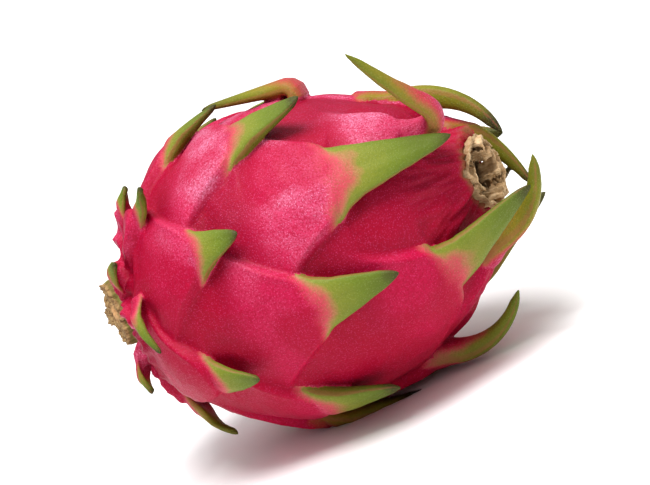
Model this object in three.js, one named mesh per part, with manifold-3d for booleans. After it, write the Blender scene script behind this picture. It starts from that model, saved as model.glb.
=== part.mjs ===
// A dragon fruit lying on its belly: the fruit with its leafy scales grown as one piece, the
// withered flower in the hollow at its tip, and the cut stub of its stem.
// Millimetres, +Z up, the long axis along X, the stem end at -X.
import * as THREE from "three";
import Module from "manifold-3d";

const wasm = await Module();
wasm.setup();

// Plain body: an egg turned about the long axis, its belly sagging below the axis.
const LENGTH = 118;
const WIDEST_AT = 58;
const WIDEST_RADIUS = 43;
const TIP_REACH = 62;
const BELLY_SAG = 5;
const NECK_TAPER = 0.18;
const NECK_FROM = 78;
const NECK_LENGTH = 38;
const STEM_DIMPLE = 3;
const STEM_DIMPLE_RADIUS = 8;

// Hollow at the tip, where the flower stood.
const CUP_RADIUS = 10.5;
const CUP_DEPTH = 7;

// The ground, measured down from the long axis. It presses the belly flat where they meet.
const GROUND_DROP = 51.9;

// Scales follow one spiral: each stands a golden angle round from the one before it, and the
// step along the axis grows towards the tip.
const FIRST_SCALE = -9;
const LAST_SCALE = 33;
const SPIRAL_START = -7.7;
const SPIRAL_STEP = 137.5;
const SPIRAL_X = 18;
const SPIRAL_RISE = 1.9;
const SPIRAL_GROWTH = 0.0375;

// What sets single scales apart: x and turn move the root, long scales the blade's length,
// launch lifts it off the skin, bend curls it (plus is away from the axis), lean swings it
// sideways, half is half its width and high is the height of the cushion under it.
const GROWN_APART = new Map([
  [-5, { x: -3, turn: 25, long: 1.5 }],
  [-3, { x: -1, turn: 20, long: 1.4 }],
  [-2, { turn: 14 }],
  [0, { x: -1, turn: 2, half: 12 }],
  [2, { x: -4, turn: 6, long: 0.9 }],
  [3, { x: -6, turn: 27, long: 1.7, launch: 40, bend: -42 }],
  [5, { turn: -18, long: 0.6 }],
  [8, { x: -1, turn: 8 }],
  [10, { turn: -20, long: 1.2, launch: 18, bend: -12 }],
  [11, { x: 5, turn: 14, long: 1.6, launch: -1, high: 6 }],
  [13, { x: -5, turn: -10, long: 0.75 }],
  [15, { turn: -25, long: 0.8 }],
  [16, { x: -3, turn: 16, long: 1.1 }],
  [18, { x: -4, turn: -17, launch: 16 }],
  [19, { turn: 15, launch: 2, high: 5 }],
  [20, { turn: -20, long: 0.8 }],
  [21, { x: -4, turn: 3, long: 0.9 }],
  [23, { x: -10, turn: -18, launch: 185, bend: 25, half: 11, high: 1.5 }],
  [24, { x: -2, turn: 34, long: 1.1, launch: 52, bend: -90, half: 11 }],
  [26, { x: -7, turn: -6, lean: -8 }],
  [27, { turn: 15 }],
  [28, { x: -3, turn: -6, launch: 38, bend: -80, half: 9, high: 2.2 }],
  [29, { x: -2, turn: 12, long: 0.85 }],
  [30, { x: -3, long: 0.6, launch: 22, bend: -35, half: 8 }],
  [31, { x: -7, long: 0.95, launch: 118, bend: 60, half: 8 }],
  [32, { x: -8, turn: 4, long: 0.9, launch: 45, bend: -95, half: 9 }],
  [33, { turn: -16, long: 0.8, launch: 14, bend: -45, half: 8 }],
]);

// Withered flower: a ragged wall round a shrunken core.
const FLOWER_STANDS = 5;
const FLOWER_CORE_RADIUS = 4.6;

// Cut stem: a core with three wings.
const STUB_CORE = 4.4;
const STUB_WINGS = [
  { turn: -116, reach: 5.6 },
  { turn: 69, reach: 6.2 },
  { turn: 158, reach: 4.6 },
];
const STUB_WING_HALF_ANGLE = 34;
const STUB_OUT = 6.5;
const STUB_ROOT = 5.5;

// The seats of the flower and the stub are this much wider than they are.
const SEAT_GAP = 0.3;

// Facets.
const BODY_RINGS = 37;
const BODY_SIDES = 56;
const CUP_RINGS = 5;
const BLADE_SIDES = 6;
const FLOWER_SIDES = 33;
const STUB_SIDES = 36;

const RIM_ANGLE = Math.PI - Math.asin(CUP_RADIUS / WIDEST_RADIUS / (1 - NECK_TAPER));
const TABLE_STEPS = 1200;

const clamp = THREE.MathUtils.clamp;
const smooth = (t) => THREE.MathUtils.smoothstep(t, 0, 1);
const radians = THREE.MathUtils.degToRad;

function bareX(v) {
  const c = Math.cos(v);
  return c > 0 ? WIDEST_AT * (1 - c) : WIDEST_AT - TIP_REACH * c;
}

// The outline of the plain body and its cup; v runs from the stem (0) to the cup floor (pi).
function outline(v) {
  if (v > RIM_ANGLE) {
    const w = (v - RIM_ANGLE) / (Math.PI - RIM_ANGLE);
    const x = bareX(RIM_ANGLE) - CUP_DEPTH * Math.sin((w * Math.PI) / 2) ** 1.3;
    return { x, r: CUP_RADIUS * Math.sqrt(Math.max(Math.cos((w * Math.PI) / 2), 0)) };
  }
  const x = bareX(v);
  const r = WIDEST_RADIUS * Math.sin(v) * (1 - NECK_TAPER * smooth((x - NECK_FROM) / NECK_LENGTH));
  const dimple = STEM_DIMPLE * Math.exp(-((r / STEM_DIMPLE_RADIUS) ** 2));
  return { x: Math.cos(v) > 0 ? x + dimple : x, r };
}

// The same outline by length along it.
const table = [];
for (let i = 0; i <= TABLE_STEPS; i++) {
  const at = outline((Math.PI * i) / TABLE_STEPS);
  const last = table[i - 1];
  at.l = last ? last.l + Math.hypot(at.x - last.x, at.r - last.r) : 0;
  table.push(at);
}
const WHOLE_LENGTH = table[TABLE_STEPS].l;
const RIM_LENGTH = lengthWhere((at, i) => (Math.PI * i) / TABLE_STEPS >= RIM_ANGLE);

function lengthWhere(test) {
  return table.find(test).l;
}

function atLength(l) {
  let low = 0;
  let high = TABLE_STEPS;
  while (high - low > 1) {
    const mid = (low + high) >> 1;
    if (table[mid].l > l) high = mid;
    else low = mid;
  }
  const a = table[low];
  const b = table[high];
  const t = clamp((l - a.l) / (b.l - a.l), 0, 1);
  const slope = Math.hypot(b.x - a.x, b.r - a.r);
  return {
    x: a.x + t * (b.x - a.x),
    r: a.r + t * (b.r - a.r),
    dx: (b.x - a.x) / slope,
    dr: (b.r - a.r) / slope,
  };
}

const lengthAtX = (x) => lengthWhere((at) => at.x >= x && at.r > STEM_DIMPLE_RADIUS / 2);
const sag = (x) => BELLY_SAG * Math.sin((Math.PI * clamp(x, 0, LENGTH)) / LENGTH);

// A point of the plain skin with its directions: along to the tip, out, and round.
function skin(l, theta) {
  const { x, r, dx, dr } = atLength(l);
  const away = new THREE.Vector3(0, -Math.cos(theta), -Math.sin(theta));
  return {
    r,
    point: new THREE.Vector3(x, 0, -sag(x)).addScaledVector(away, r),
    along: new THREE.Vector3(dx, 0, 0).addScaledVector(away, dr),
    out: new THREE.Vector3(-dr, 0, 0).addScaledVector(away, dx),
    round: new THREE.Vector3(0, Math.sin(theta), -Math.cos(theta)),
  };
}

// Where each scale is rooted and how big it is.
const scales = [];
for (let n = FIRST_SCALE; n <= LAST_SCALE; n++) {
  const own = GROWN_APART.get(n) ?? {};
  const x = clamp(SPIRAL_X + SPIRAL_RISE * n + SPIRAL_GROWTH * n * n + (own.x ?? 0), 2.5, 114.5);
  const theta = radians(SPIRAL_START + SPIRAL_STEP * n + (own.turn ?? 0));
  const l = lengthAtX(x);
  const r = atLength(l).r;
  const rise = SPIRAL_RISE + 2 * SPIRAL_GROWTH * n;
  const steep = x < 113 ? Math.max(1, (lengthAtX(x + 2) - l) / 2) : 2;
  const cell = clamp(Math.sqrt(2 * Math.PI * r * Math.max(rise, 0.9) * steep), 10, 33);
  scales.push({
    l,
    r,
    theta,
    length: Math.max((6 + 0.55 * n + 0.018 * n * n) * (own.long ?? 1), 2.5),
    half: own.half ?? 0.52 * cell,
    high: own.high ?? 0.135 * cell,
    thick: 0.13 * cell + 0.6,
    reach: 0.46 * cell,
    back: 0.98 * cell,
    launch: own.launch ?? 8 - 0.1 * n,
    bend: own.bend ?? 0,
    lean: own.lean ?? 0,
  });
}

function halfWidth(scale, a) {
  const u = clamp((scale.length - a) / (scale.length + scale.reach), 0, 1.6);
  return scale.half * (0.78 * u + 0.22 * u ** 4);
}

// How far the skin stands above the plain body: each scale sits on a cushion with a steep
// front that overhangs the next, and the highest cushion wins.
function relief(l, theta) {
  const here = atLength(l).r;
  let total = 0;
  let dip = 0;
  for (const s of scales) {
    const a = l - s.l;
    let turn = (theta - s.theta) % (2 * Math.PI);
    if (turn > Math.PI) turn -= 2 * Math.PI;
    if (turn < -Math.PI) turn += 2 * Math.PI;
    const b = Math.abs(turn) * Math.max((here + s.r) / 2, 4);
    if (a < -1.2 * s.back || a > 14 || b > 2.2 * s.half) continue;
    const w = halfWidth(s, Math.min(a, 0));
    const side = 0.72 * (w - b);
    const front = -0.95 * a;
    const inside = -1.6 * Math.log(Math.exp(-side / 1.6) + Math.exp(-front / 1.6));
    const wall = smooth(inside / 2.6 + 0.5);
    const fade = Math.cos((clamp(-a / s.back, 0, 1) * Math.PI) / 2) ** 1.5;
    const crown = 0.72 + 0.28 * (1 - clamp(b / w, 0, 1) ** 2);
    const lip = 0.1 * Math.exp(-(((inside - 0.9) / 1.1) ** 2));
    total += (s.high * wall * fade * (crown + lip)) ** 5;
    if (a > -2) {
      const under = Math.exp(-((b / (0.8 * s.half)) ** 2));
      dip += 0.25 * s.high * under * Math.exp(-(((Math.max(a, 0) - 1.5) / 3.5) ** 2)) * (1 - wall);
    }
  }
  const ends = smooth((l - 3) / 7) * (1 - smooth((l - RIM_LENGTH + 7) / 6));
  return (total ** 0.2 - dip) * ends;
}

// A closed solid from rings of points between two poles.
function solidOf(first, rings, last) {
  const points = [first, ...rings.flat(), last];
  const sides = rings[0].length;
  const faces = [];
  const at = (ring, side) => 1 + ring * sides + (side % sides);
  for (let j = 0; j < sides; j++) {
    faces.push(0, at(0, j + 1), at(0, j));
    for (let i = 0; i + 1 < rings.length; i++) {
      faces.push(at(i, j), at(i, j + 1), at(i + 1, j));
      faces.push(at(i, j + 1), at(i + 1, j + 1), at(i + 1, j));
    }
    faces.push(at(rings.length - 1, j), at(rings.length - 1, j + 1), points.length - 1);
  }
  const volume = faces.reduce((sum, f, i) => {
    if (i % 3) return sum;
    return sum + points[f].dot(points[faces[i + 1]].clone().cross(points[faces[i + 2]]));
  }, 0);
  if (volume < 0) faces.reverse();
  const vertProperties = new Float32Array(points.flatMap((p) => [p.x, p.y, p.z]));
  const triVerts = new Uint32Array(faces);
  return new wasm.Manifold(new wasm.Mesh({ numProp: 3, vertProperties, triVerts }));
}

function solidOfGeometry(geometry) {
  const corners = new Map();
  const vertProperties = [];
  const triVerts = [];
  const position = geometry.getAttribute("position");
  for (const i of geometry.index.array) {
    const key = [position.getX(i), position.getY(i), position.getZ(i)].join();
    if (!corners.has(key)) {
      corners.set(key, corners.size);
      vertProperties.push(position.getX(i), position.getY(i), position.getZ(i));
    }
    triVerts.push(corners.get(key));
  }
  return new wasm.Manifold(
    new wasm.Mesh({
      numProp: 3,
      vertProperties: new Float32Array(vertProperties),
      triVerts: new Uint32Array(triVerts),
    }),
  );
}

function bodySolid() {
  const lengths = [];
  for (let i = 1; i <= BODY_RINGS; i++) lengths.push((RIM_LENGTH * i) / BODY_RINGS);
  const inner = WHOLE_LENGTH - RIM_LENGTH;
  for (let i = 1; i < CUP_RINGS; i++) lengths.push(RIM_LENGTH + (inner * i) / CUP_RINGS);
  const rings = lengths.map((l) =>
    Array.from({ length: BODY_SIDES }, (_, j) => {
      const theta = (2 * Math.PI * j) / BODY_SIDES;
      const { point, out } = skin(l, theta);
      return point.addScaledVector(out, relief(l, theta));
    }),
  );
  return solidOf(skin(0, 0).point, rings, skin(WHOLE_LENGTH, 0).point);
}

// One leafy scale: a curved blade of lens section. Behind its root the blade dips into the
// cushion, and its margins droop onto the skin.
function bladeSolid(scale) {
  const { point, along, out, round } = skin(scale.l, scale.theta);
  const buried = Math.max(0.3 * scale.back, 3);
  const whole = scale.length + buried;
  const rings = 3 + Math.round(scale.length / 5);
  const steps = 24 * (rings + 1);
  const ramp = 6 + Math.abs(scale.launch) / 30;
  const path = [];
  const centre = new THREE.Vector3();
  for (let i = 0; i <= steps; i++) {
    const a = -buried + (whole * i) / steps;
    const share = clamp(a / scale.length, 0, 1);
    const follow = -Math.min(a, 4) / 62;
    const pitch = radians(scale.launch * smooth((a + 3) / ramp) + scale.bend * share) + follow;
    const yaw = radians(scale.lean);
    const ahead = along
      .clone()
      .multiplyScalar(Math.cos(pitch) * Math.cos(yaw))
      .addScaledVector(out, Math.sin(pitch))
      .addScaledVector(round, Math.cos(pitch) * Math.sin(yaw));
    path.push({ a, share, centre: centre.clone(), ahead: ahead.clone() });
    centre.addScaledVector(ahead, whole / steps);
  }
  const rooted = path.find((at) => at.a >= 0).centre.clone();
  const shift = point.clone().addScaledVector(out, scale.high - 0.3).sub(rooted);
  const ringAt = (t) => {
    const at = path[Math.round(t * steps)];
    const across = new THREE.Vector3().crossVectors(at.ahead, round).cross(at.ahead).normalize();
    const up = new THREE.Vector3().crossVectors(at.ahead, across);
    if (at.share === 0 ? up.dot(out) < 0 : up.dot(path.up) < 0) up.negate();
    path.up = up;
    const heel = Math.sqrt(1 - (clamp(-at.a / buried, 0, 1) * 0.9) ** 2);
    const width = halfWidth(scale, at.a) * heel;
    const blunt = Math.min(Math.sqrt((1 - at.share) / 0.12), 1);
    const thick = scale.thick * (1 - 0.72 * at.share) * blunt;
    const hollow = THREE.MathUtils.lerp(scale.r, scale.half / 2 + 4, at.share);
    const sunk = 0.75 * scale.high * smooth(-at.a / buried);
    const droop = 0.5 * scale.high * smooth((6 - at.a) / 8);
    return Array.from({ length: BLADE_SIDES }, (_, j) => {
      const turn = (2 * Math.PI * j) / BLADE_SIDES;
      const b = Math.cos(turn) * width;
      const face = Math.sin(turn);
      const lift = face > 0 ? 0.18 * thick * face : -thick * Math.pow(-face, 0.7);
      return at.centre
        .clone()
        .add(shift)
        .addScaledVector(across, b)
        .addScaledVector(up, lift - (b * b) / (2 * hollow) - droop * (b / width) ** 2 - sunk);
    });
  };
  const made = [];
  for (let i = 1; i <= rings; i++) made.push(ringAt((1 - Math.cos((Math.PI * i) / (rings + 1))) / 2));
  const first = path[0].centre.clone().add(shift).addScaledVector(out, -1.1 * scale.high);
  const last = path[steps].centre.clone().add(shift);
  return solidOf(first, made, last);
}

// The withered flower: its outside fills the cup and stands out of it, its inside is a hollow
// round a shrunken core. Grown by a margin and without the hollow it serves as its own seat.
function flowerSolid(margin) {
  const rim = bareX(RIM_ANGLE);
  const floor = rim - CUP_DEPTH;
  const core = FLOWER_CORE_RADIUS;
  const ragged = (theta) => Math.cos(5 * theta + 0.6) + 0.6 * Math.cos(8 * theta + 2.1);
  const creased = (theta) => Math.cos(7 * theta) + 0.5 * Math.cos(11 * theta + 1.3);
  const inCup = (x) => {
    const w = (2 / Math.PI) * Math.asin(clamp((rim - x) / CUP_DEPTH, 0, 1) ** (1 / 1.3));
    return CUP_RADIUS * Math.sqrt(Math.max(Math.cos((w * Math.PI) / 2), 0)) - 0.2;
  };
  const outside = [
    [() => floor + 0.9 - margin, () => 0.45 * CUP_RADIUS],
    [() => floor + 1.3 - margin, () => inCup(floor + 1) - 0.6],
    [() => floor + 3.2, () => inCup(floor + 3.2) - 0.2],
    [() => rim - 0.6, () => inCup(rim - 0.6) - 0.1],
    [() => rim + 1.6, (t) => CUP_RADIUS - 0.5 + 0.35 * creased(t)],
    [(t) => rim + 3.2 + 0.8 * ragged(t), (t) => CUP_RADIUS - 0.3 + 0.5 * creased(t)],
  ];
  const inside = [
    [(t) => rim + 3.3 + 0.8 * ragged(t), (t) => CUP_RADIUS - 1.5 + 0.5 * creased(t)],
    [(t) => rim + 1.4 + 0.3 * ragged(t), (t) => CUP_RADIUS - 2.4 + 0.4 * creased(t)],
    [() => rim - 0.4, (t) => core + 2.1 + 0.3 * creased(t)],
    [() => rim - 0.3, (t) => core + 1 + 0.3 * creased(t)],
    [() => rim + 1.6, (t) => core + 0.3 + 0.5 * creased(t)],
    [(t) => rim + FLOWER_STANDS - 0.8 + 0.4 * ragged(t), (t) => core - 0.6 + 0.5 * creased(t)],
    [(t) => rim + FLOWER_STANDS - 0.2 + 0.3 * ragged(t), () => 0.5 * core],
  ];
  const seatTop = [[() => rim + FLOWER_STANDS + 1, () => CUP_RADIUS]];
  const centre = (x) => new THREE.Vector3(x, 0, -sag(rim));
  const rings = [...outside, ...(margin > 0 ? seatTop : inside)].map(([xAt, rAt]) =>
    Array.from({ length: FLOWER_SIDES }, (_, j) => {
      const theta = (2 * Math.PI * j) / FLOWER_SIDES;
      const away = new THREE.Vector3(0, -Math.cos(theta), -Math.sin(theta));
      return centre(xAt(theta)).addScaledVector(away, rAt(theta) + margin);
    }),
  );
  const top = rim + FLOWER_STANDS + (margin > 0 ? 1.2 : -0.6);
  return solidOf(centre(floor + 0.8 - margin), rings, centre(top));
}

// The cut stem, grown all round by a margin when it serves as the socket for itself.
function stubSolid(margin) {
  const girth = (theta, x) => {
    const wings = STUB_WINGS.map(({ turn, reach }) => {
      const off = Math.acos(clamp(Math.cos(theta - radians(turn)), -1, 1));
      const share = clamp(off / radians(STUB_WING_HALF_ANGLE), 0, 1);
      return reach * (1 - share) ** 0.8;
    });
    const worn = 1 - 0.12 * smooth(-x / STUB_OUT);
    return (STUB_CORE + Math.max(...wings) * worn) * (1 - 0.25 * smooth(x / STUB_ROOT));
  };
  const cuts = [-STUB_OUT, -STUB_OUT + 0.8, -STUB_OUT / 2, 0, STUB_ROOT / 2, STUB_ROOT];
  const centre = (x) => new THREE.Vector3(x, 0, -sag(4));
  const rings = cuts.map((x, i) => {
    const end = i === 0 ? -margin : i === cuts.length - 1 ? margin : 0;
    return Array.from({ length: STUB_SIDES }, (_, j) => {
      const theta = (2 * Math.PI * j) / STUB_SIDES;
      const away = new THREE.Vector3(0, -Math.cos(theta), -Math.sin(theta));
      const r = girth(theta, x) - (i === 0 ? 0.6 : 0) + margin;
      const slant = i === 0 ? 0.07 * r * Math.cos(theta - 1) : 0;
      return centre(x + end + slant).addScaledVector(away, r);
    });
  });
  return solidOf(centre(-STUB_OUT - margin), rings, centre(STUB_ROOT + margin));
}

const ground = new THREE.BoxGeometry(400, 400, 40).translate(0, 0, -GROUND_DROP - 20);
const fruitSolid = scales
  .reduce((grown, scale) => grown.add(bladeSolid(scale)), bodySolid())
  .subtract(stubSolid(SEAT_GAP))
  .subtract(flowerSolid(SEAT_GAP))
  .subtract(solidOfGeometry(ground));

function meshOf(name, solid, color, roughness) {
  const { numProp, numVert, vertProperties, triVerts } = solid.getMesh();
  const positions = new Float32Array(numVert * 3);
  for (let i = 0; i < numVert; i++) {
    positions.set(vertProperties.subarray(i * numProp, i * numProp + 3), i * 3);
  }
  const geometry = new THREE.BufferGeometry();
  geometry.setAttribute("position", new THREE.BufferAttribute(positions, 3));
  geometry.setIndex(new THREE.BufferAttribute(triVerts, 1));
  geometry.computeVertexNormals();
  const mesh = new THREE.Mesh(geometry, new THREE.MeshStandardMaterial({ color, roughness }));
  mesh.name = name;
  return mesh;
}

const fruit = new THREE.Group();
fruit.add(
  meshOf("fruit", fruitSolid, 0xc4214f, 0.5),
  meshOf("dried_flower", flowerSolid(0), 0xa58a63, 0.9),
  meshOf("stem_stub", stubSolid(0), 0x8a7a4c, 0.85),
);

// The ground is z = 0 and the middle of the fruit's box stands over the origin.
const box = new THREE.Box3().setFromObject(fruit);
const middle = box.getCenter(new THREE.Vector3());
for (const mesh of fruit.children) {
  mesh.geometry.translate(-middle.x, -middle.y, GROUND_DROP);
}

export default fruit;
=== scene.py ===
"""Dragon fruit lying on its belly: skin with leafy scales, dried flower, cut stem, and a plain studio."""

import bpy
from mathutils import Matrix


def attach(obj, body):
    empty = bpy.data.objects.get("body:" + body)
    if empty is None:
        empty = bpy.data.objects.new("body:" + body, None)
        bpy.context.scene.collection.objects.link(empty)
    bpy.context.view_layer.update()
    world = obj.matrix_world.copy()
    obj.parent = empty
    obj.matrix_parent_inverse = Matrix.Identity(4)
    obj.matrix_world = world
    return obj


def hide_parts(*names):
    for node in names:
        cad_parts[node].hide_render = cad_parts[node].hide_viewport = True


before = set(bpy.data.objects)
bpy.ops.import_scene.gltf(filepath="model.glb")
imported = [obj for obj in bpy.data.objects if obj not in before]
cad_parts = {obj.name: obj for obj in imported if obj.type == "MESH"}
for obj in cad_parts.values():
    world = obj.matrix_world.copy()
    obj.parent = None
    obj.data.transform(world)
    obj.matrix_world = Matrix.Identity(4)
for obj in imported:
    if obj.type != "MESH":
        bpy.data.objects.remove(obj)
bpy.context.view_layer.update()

import math

import bmesh
import bpy
import numpy as np
from mathutils import Matrix, Vector, kdtree, noise

bl_info = {
    "name": "Dragon fruit",
    "version": (1, 0, 0),
    "blender": (4, 5, 0),
    "location": "View3D > Sidebar > Dragon fruit",
    "description": "Grows a dragon fruit with its scales, dried flower and cut stem",
    "category": "Add Mesh",
}

MM = 0.001

# The plain body under the scales, in millimetres: x runs from the stem to the flower, with the
# long axis at z = 0. The egg, its neck and its cup have the same values as the solids.
LENGTH = 118.0
WIDEST_AT = 58.0
WIDEST_RADIUS = 43.0
TIP_REACH = 62.0
BELLY_SAG = 5.0
NECK_TAPER = 0.18
NECK_FROM = 78.0
NECK_LENGTH = 38.0
CUP_RADIUS = 10.5
CUP_DEPTH = 7.0

# What shapes the body further than in the solids. Turns go round it in degrees from the
# photographed side, with -90 on top in the photograph.
STEM_DIMPLE = 6.5
STEM_DIMPLE_RADIUS = 13.0
STEM_TILT = 0.18  # how far the stem end leans, for each millimetre from the axis
STEM_TILT_ENDS = 45.0
NECK_SHORT = 4.5
NECK_SHORT_FROM = 92.0
NECK_SHORT_LENGTH = 24.0
NECK_WAIST = 3.0
RIM_LIP = 3.2
STEM_CREASES = 3.4
STEM_CREASES_LENGTH = 42.0
HOLLOWS = ((3.4, 88, 13, -95, 38), (3.0, 13, 7, 104, 40))  # depth, x and its spread, turn and its spread
STUB_HOLLOW = 6.5  # how far the skin beside the stub is drawn in along the axis
STUB_HOLLOW_TURN, STUB_HOLLOW_WIDTH = -2, 64
STUB_HOLLOW_RADIUS, STUB_HOLLOW_SPREAD = 11, 10
STUB_HOLLOW_RIM = 8
STUB_HOLLOW_ENDS = 60  # along the skin from the stem, so that the flower's end stays clear of it
RIM_ANGLE = math.pi - math.asin(CUP_RADIUS / WIDEST_RADIUS / (1 - NECK_TAPER))
RIM_X = WIDEST_AT - TIP_REACH * math.cos(RIM_ANGLE)
MOUTH_X = RIM_X - NECK_SHORT
PLACE = np.array([-63.1784, -0.1938, 51.9])  # from the body's own origin to the world's

# The spiral of scales.
FIRST_SCALE = -9
LAST_SCALE = 33
SPIRAL_START = -7.7
SPIRAL_STEP = 137.5
FRONT_TURN = -15.7  # the side of the fruit that faces the camera

# What sets single scales apart: x and turn move the root, long scales the blade's length,
# launch lifts it off the skin within a ramp of some millimetres, bend curls it, lean swings it
# sideways, half is half its width, high is the height of its cushion, fleshy its thickness,
# blush how far red runs up it, and dry how far it has withered.
GROWN_APART = {
    -8: dict(long=0.8, high=0.8, dry=0.3),
    -6: dict(high=1.0, dry=0.3),
    -5: dict(x=-1.5, turn=23, long=1.5, dry=0.3),
    -3: dict(x=-1, turn=20, long=1.4, dry=0.3),
    -2: dict(turn=14, long=1.4, dry=0.3),
    0: dict(x=0.5, turn=-4, half=4.8, long=2.0, launch=3, bend=-10, lean=68),
    1: dict(long=1.3),
    2: dict(x=-7, turn=6, long=0.72),
    3: dict(x=-6, turn=27, long=1.7, launch=40, bend=-42, dry=0.4, blush=0.15),
    4: dict(long=1.3),
    5: dict(x=-2, turn=-19, long=0.95, half=8, launch=44, bend=-8),
    8: dict(x=-1, turn=8, long=1.12),
    10: dict(x=-4, turn=-20, long=1.3, launch=8, bend=-8, dry=0.2),
    11: dict(x=5, turn=17, long=1.8, launch=-1, high=6, dry=1.0),
    13: dict(x=-5, turn=-10, long=0.85),
    15: dict(turn=-25, long=0.8),
    16: dict(x=-3, turn=16, long=1.1),
    18: dict(x=-4, turn=-17, launch=16),
    19: dict(turn=15, launch=2, high=5, dry=0.4),
    20: dict(turn=-20, long=0.8),
    21: dict(x=-4, turn=3, long=0.9),
    23: dict(x=-10, turn=-18, launch=184, half=11, high=1.2, dry=0.75, ramp=6, blush=0.12, fleshy=0.9),
    24: dict(x=-5, turn=36, long=1.12, launch=43, bend=-86, half=10, dry=0.0, fleshy=1.3, blush=0.3),
    26: dict(x=-7, turn=-6, lean=-8),
    27: dict(turn=15),
    28: dict(x=-7, turn=-2.5, long=1.1, launch=45, bend=-84, half=10.5, high=1.6, dry=0.85,
             fleshy=1.5, ramp=8),
    29: dict(x=-2, turn=12, long=0.85),
    30: dict(x=-3, long=0.5, launch=8, bend=-20, half=8, dry=0.9),
    31: dict(x=-8.5, turn=5.5, long=1.05, launch=164, bend=-17, lean=4.5, half=8, dry=0.6,
             fleshy=1.2, blush=0.42, ramp=18),
    32: dict(x=-8.5, turn=12.5, long=0.89, launch=46, bend=-83, lean=-11, half=8.5, dry=0.6,
             fleshy=1.7, blush=0.3, ramp=12),
    33: dict(long=0.54, launch=20, bend=-34, lean=-45, half=9, dry=0.85, fleshy=1.2, ramp=4),
}

BODY_SIDES, BODY_RINGS = 480, 360
BLADE_SIDES, BLADE_RINGS = 48, 64
SMALL_VOXEL = 0.00022
FLOWER_TRIANGLES = 70000
STUB_TRIANGLES = 40000

# What the camera looks at, in millimetres, and where the lights stand, in metres.
CAMERA_AIM = (-4.46, 16.66, 43.42)
SENSOR_WIDTH = 36.0
LIGHTS_AIM = (0, 0, 0.05)
KEY_LIGHT_AT, KEY_LIGHT_SIZE = (0.12, -0.34, 1.28), 0.75
FILL_LIGHT_AT, FILL_LIGHT_SIZE = (0.5, -1.5, 0.6), 0.9


# Body and scales.


def smooth(t):
    t = np.clip(t, 0.0, 1.0)
    return t * t * (3 - 2 * t)


def bell(*offsets):
    """A soft bump: 1 where all offsets are 0, and nearly gone where one of them is 2."""
    return np.exp(-sum(np.square(offset) for offset in offsets))


def outline(v):
    """The outline of the plain body and its cup; v runs from the stem (0) to the cup floor (pi)."""
    c, s = np.cos(v), np.sin(v)
    x = np.where(c > 0, WIDEST_AT * (1 - c), WIDEST_AT - TIP_REACH * c)
    r = WIDEST_RADIUS * s * (1 - NECK_TAPER * smooth((x - NECK_FROM) / NECK_LENGTH))
    x = x + STEM_DIMPLE * np.exp(-((r / STEM_DIMPLE_RADIUS) ** 2)) * (c > 0)
    w = np.clip((v - RIM_ANGLE) / (math.pi - RIM_ANGLE), 0, 1)
    in_cup = v > RIM_ANGLE
    x = np.where(in_cup, RIM_X - CUP_DEPTH * np.sin(w * math.pi / 2) ** 1.3, x)
    r = np.where(in_cup, CUP_RADIUS * np.cos(w * math.pi / 2).clip(0) ** 0.5, r)
    return x, r


V_STEPS = np.linspace(0, math.pi, 2001)
X_STEPS, R_STEPS = outline(V_STEPS)
L_STEPS = np.concatenate([[0], np.cumsum(np.hypot(np.diff(X_STEPS), np.diff(R_STEPS)))])
RIM_LENGTH = float(np.interp(RIM_ANGLE, V_STEPS, L_STEPS))


def at_length(l):
    """x, radius and direction of the outline at a length along it."""
    step = 0.3
    x, r = np.interp(l, L_STEPS, X_STEPS), np.interp(l, L_STEPS, R_STEPS)
    dx = np.interp(l + step, L_STEPS, X_STEPS) - np.interp(l - step, L_STEPS, X_STEPS)
    dr = np.interp(l + step, L_STEPS, R_STEPS) - np.interp(l - step, L_STEPS, R_STEPS)
    size = np.hypot(dx, dr) + 1e-9
    return x, r, dx / size, dr / size


def length_at_x(x):
    outer = (V_STEPS <= RIM_ANGLE) & (R_STEPS > STEM_DIMPLE_RADIUS)
    return float(np.interp(x, X_STEPS[outer], L_STEPS[outer]))


def sag(x):
    return BELLY_SAG * np.sin(math.pi * np.clip(x / LENGTH, 0, 1))


def turned(theta):
    """The turn from the photographed side, in degrees from -180 to 180."""
    return np.degrees(np.angle(np.exp(1j * (theta - math.radians(FRONT_TURN)))))


def away_at(theta):
    return np.stack([np.zeros_like(theta), -np.cos(theta), -np.sin(theta)], -1)


def skin_at(l, theta):
    """A point of the plain skin with its directions: along to the tip, out, and round."""
    x, r, dx, dr = at_length(l)
    away = away_at(theta)
    axis = np.array([1.0, 0, 0])
    psi = turned(theta)
    for depth, middle, length, turn, width in HOLLOWS:
        r = r - depth * bell((x - middle) / length, (psi - turn) / width)
    x = x - STEM_TILT * r * np.sin(np.radians(psi)) * (1 - smooth(x / STEM_TILT_ENDS))
    x = x - NECK_SHORT * smooth((x - NECK_SHORT_FROM) / NECK_SHORT_LENGTH)
    beside = bell((psi - STUB_HOLLOW_TURN) / STUB_HOLLOW_WIDTH, (r - STUB_HOLLOW_RADIUS) / STUB_HOLLOW_SPREAD)
    x = x + STUB_HOLLOW * beside * smooth(r / STUB_HOLLOW_RIM) * (l < STUB_HOLLOW_ENDS)
    point = x[..., None] * axis + r[..., None] * away - sag(x)[..., None] * np.array([0, 0, 1.0])
    along = dx[..., None] * axis + dr[..., None] * away
    out = -dr[..., None] * axis + dx[..., None] * away
    round_ = np.stack([np.zeros_like(theta), np.sin(theta), -np.cos(theta)], -1)
    return point, along, out, round_


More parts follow.
